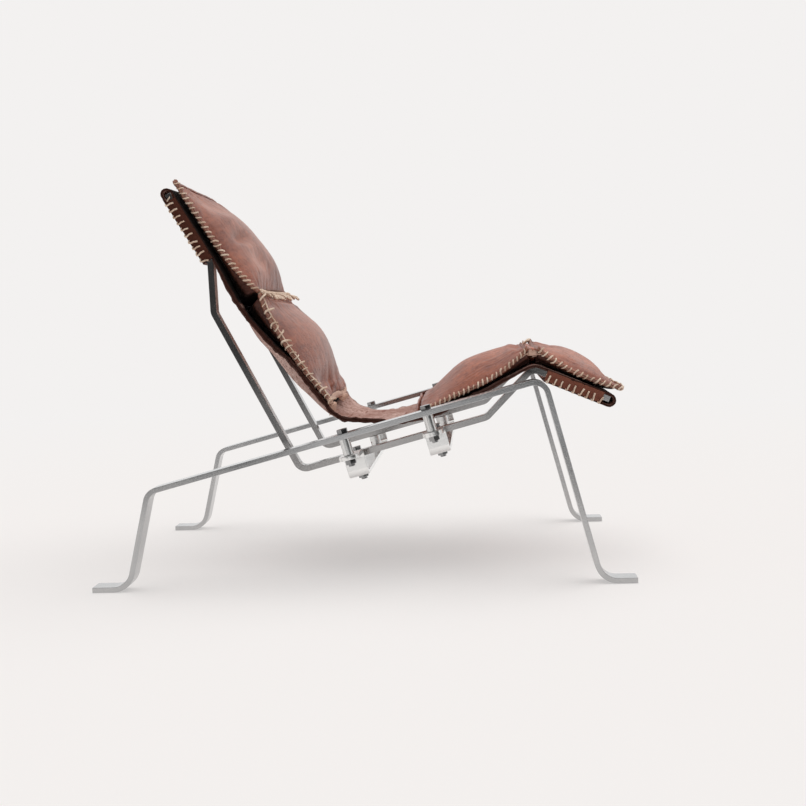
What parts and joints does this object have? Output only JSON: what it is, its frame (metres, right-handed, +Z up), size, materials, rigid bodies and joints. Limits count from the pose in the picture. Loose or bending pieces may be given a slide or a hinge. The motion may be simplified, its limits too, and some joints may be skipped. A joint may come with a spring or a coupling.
{
  "type": "lounge chair",
  "caption": "Reclining lounge chair: a thick leather sling with laced pads hung on a bent flat-steel seat frame, bolted through cross members to sloping rails with splayed legs.",
  "frame": {"origin": "on the floor, under the middle of the base", "axes": "+X towards the sitter's feet, +Y to the sitter's left, +Z up"},
  "size_m": [1.0174, 0.67, 0.7736],
  "materials": {
    "frame_steel": "brushed",
    "seat_steel": "brushed",
    "fasteners": "zinc plated",
    "sling_hide": "waxed",
    "pad_leather": "waxed"
  },
  "bodies": {
    "root": {"base_rail_right": "frame_steel", "seat_bar_right": "seat_steel", "base_rail_left": "frame_steel", "seat_bar_left": "seat_steel", "top_crossbar": "seat_steel", "front_crossbar": "seat_steel", "cross_member_rear": "frame_steel", "rail_spacer_rear_right": "frame_steel", "rail_bolt_rear_right": "fasteners", "rail_nut_rear_right": "fasteners", "seat_spacer_rear_right": "frame_steel", "seat_bolt_rear_right": "fasteners", "seat_nut_rear_right": "fasteners", "rail_spacer_rear_left": "frame_steel", "rail_bolt_rear_left": "fasteners", "rail_nut_rear_left": "fasteners", "seat_spacer_rear_left": "frame_steel", "seat_bolt_rear_left": "fasteners", "seat_nut_rear_left": "fasteners", "cross_member_front": "frame_steel", "rail_spacer_front_right": "frame_steel", "rail_bolt_front_right": "fasteners", "rail_nut_front_right": "fasteners", "seat_spacer_front_right": "frame_steel", "seat_bolt_front_right": "fasteners", "seat_nut_front_right": "fasteners", "rail_spacer_front_left": "frame_steel", "rail_bolt_front_left": "fasteners", "rail_nut_front_left": "fasteners", "seat_spacer_front_left": "frame_steel", "seat_bolt_front_left": "fasteners", "seat_nut_front_left": "fasteners", "sling": "sling_hide", "upper_back_pad": "pad_leather", "lower_back_pad": "pad_leather", "seat_pad": "pad_leather", "leg_pad": "pad_leather"}
  },
  "joints": []
}
